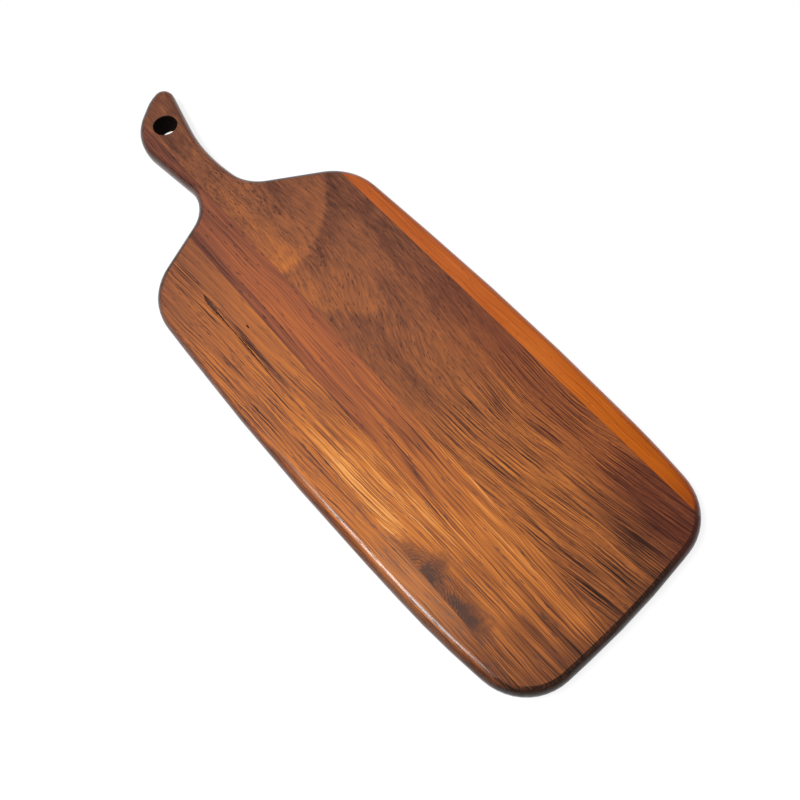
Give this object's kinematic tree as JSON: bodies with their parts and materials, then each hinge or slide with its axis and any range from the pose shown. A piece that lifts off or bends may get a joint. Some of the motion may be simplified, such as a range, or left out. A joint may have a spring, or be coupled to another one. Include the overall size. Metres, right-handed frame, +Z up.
{
  "type": "paddle charcuterie board",
  "caption": "Paddle-shaped wooden serving board, edge-glued from staves of contrasting grain, with rounded edges and a short curved handle with a hanging hole.",
  "frame": {"origin": "under the middle of the board, on the plane of its underside", "axes": "+Y along the grain to the handle's tip, +X to the narrow edge strip, +Z up out of the serving face"},
  "size_m": [0.2185, 0.6108, 0.02],
  "materials": {
    "outer_wood": "oiled, satin",
    "knot_wood": "oiled, satin",
    "red_wood": "oiled, satin",
    "handle_wood": "oiled, satin",
    "strip_wood": "oiled, satin",
    "glue": "dried wood glue, scraped flush"
  },
  "bodies": {
    "root": {"outer_stave": "outer_wood", "knot_stave": "knot_wood", "red_stave": "red_wood", "handle_stave": "handle_wood", "edge_strip": "strip_wood", "outer_glue_line": "glue", "knot_glue_line": "glue", "handle_glue_line": "glue", "strip_glue_line": "glue"}
  },
  "joints": []
}
